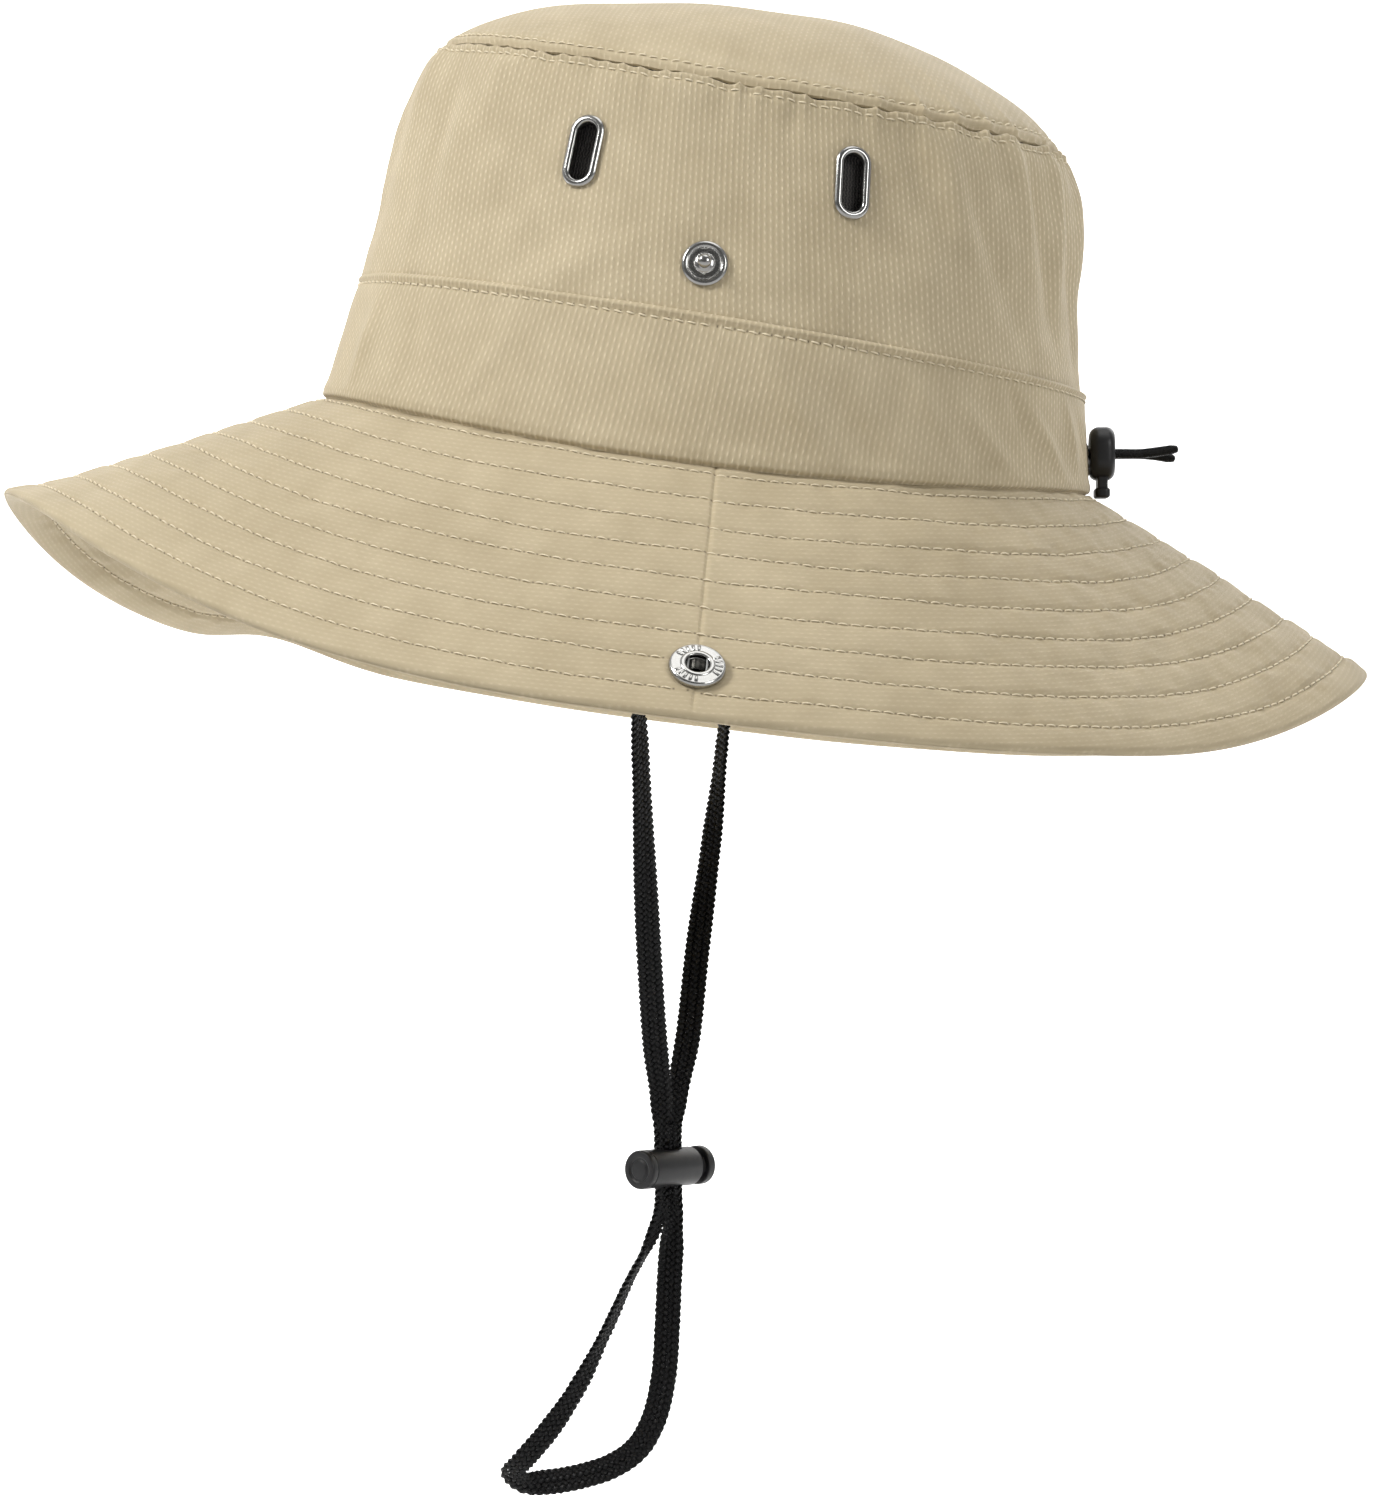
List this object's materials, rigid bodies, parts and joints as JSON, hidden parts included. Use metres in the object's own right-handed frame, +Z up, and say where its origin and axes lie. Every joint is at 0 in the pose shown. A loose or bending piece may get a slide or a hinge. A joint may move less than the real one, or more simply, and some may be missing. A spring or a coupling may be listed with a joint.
{
  "type": "boonie hat",
  "caption": "Wide-brimmed boonie hat with vented crown, brim sides that fold up and snap to the crown, a chin cord with a sliding lock, and a rear drawcord.",
  "frame": {"origin": "middle of the head opening, where crown and brim are sewn together", "axes": "+X to the wearer's left, +Y to the back of the head, +Z up; the hat leans back by 7 degrees as it is worn"},
  "size_m": [0.2954, 0.365, 0.4001],
  "materials": {
    "khaki_fabric": "light ripstop nylon, matt",
    "interlining": "non-woven stiffener",
    "mesh_fabric": "black knitted mesh",
    "black_braid": "black flat polyester braid",
    "black_plastic": "black, satin",
    "nickel": "polished nickel plate",
    "spring_steel": "drawn wire"
  },
  "bodies": {
    "crown": {"crown_top_panel": "khaki_fabric", "crown_side_panel": "khaki_fabric", "crown_band": "khaki_fabric", "crown_mesh_lining": "mesh_fabric", "sweatband": "khaki_fabric", "brim_upper_main": "khaki_fabric", "brim_interlining_main": "interlining", "brim_underside_main": "khaki_fabric", "left_front_eyelet": "nickel", "left_front_eyelet_washer": "nickel", "left_back_eyelet": "nickel", "left_back_eyelet_washer": "nickel", "left_snap_stud": "nickel", "left_snap_stud_post": "nickel", "left_cord_tab": "black_braid", "right_front_eyelet": "nickel", "right_front_eyelet_washer": "nickel", "right_back_eyelet": "nickel", "right_back_eyelet_washer": "nickel", "right_snap_stud": "nickel", "right_snap_stud_post": "nickel", "right_cord_tab": "black_braid", "drawcord_channel_run": "black_braid", "drawcord_left_end": "black_braid", "drawcord_right_end": "black_braid"},
    "left_flap": {"brim_upper_left_flap": "khaki_fabric", "brim_interlining_left_flap": "interlining", "brim_underside_left_flap": "khaki_fabric", "left_snap_socket": "nickel", "left_snap_socket_spring": "spring_steel", "left_snap_socket_cap": "nickel"},
    "right_flap": {"brim_upper_right_flap": "khaki_fabric", "brim_interlining_right_flap": "interlining", "brim_underside_right_flap": "khaki_fabric", "right_snap_socket": "nickel", "right_snap_socket_spring": "spring_steel", "right_snap_socket_cap": "nickel"},
    "chin_cord": {"chin_cord": "black_braid"},
    "chin_lock": {"chin_lock_barrel": "black_plastic", "chin_lock_spring": "spring_steel"},
    "chin_lock_plunger": {"chin_lock_plunger": "black_plastic"},
    "rear_lock": {"rear_lock_body": "black_plastic", "rear_lock_spring": "spring_steel"},
    "rear_lock_button": {"rear_lock_button": "black_plastic"}
  },
  "joints": [
    {"name": "left_brim_fold", "type": "hinge", "parent": "crown", "child": "left_flap", "pos_m": [0.09284, 0, -0.01789], "axis": [0.0292, -0.999, 0.0338], "range_deg": [0, 145.9]},
    {"name": "right_brim_fold", "type": "hinge", "parent": "crown", "child": "right_flap", "pos_m": [-0.09284, 0, -0.01789], "axis": [0.0288, 0.999, -0.0336], "range_deg": [0, 145.9]},
    {"name": "chin_cord_swing", "type": "hinge", "parent": "crown", "child": "chin_cord", "pos_m": [0.0744, -0.0203, -0.012], "axis": [0.9819, -0.1881, 0.0229], "range_deg": [-20, 20]},
    {"name": "chin_lock_slide", "type": "slide", "parent": "chin_cord", "child": "chin_lock", "axis": [0, 0, 1], "range_m": [-0.004, 0.009]},
    {"name": "chin_lock_press", "type": "slide", "parent": "chin_lock", "child": "chin_lock_plunger", "axis": [0.766, -0.6428, 0], "range_m": [0, 0.0022], "stiffness_N_per_m": 500, "springref_m": -0.002, "deforming": ["chin_lock_spring"]},
    {"name": "rear_lock_slide", "type": "slide", "parent": "crown", "child": "rear_lock", "axis": [0, 1, 0], "range_m": [0, 0.006]},
    {"name": "rear_lock_press", "type": "slide", "parent": "rear_lock", "child": "rear_lock_button", "axis": [0, 0, 1], "range_m": [0, 0.0018], "stiffness_N_per_m": 500, "springref_m": -0.0015, "deforming": ["rear_lock_spring"]}
  ]
}
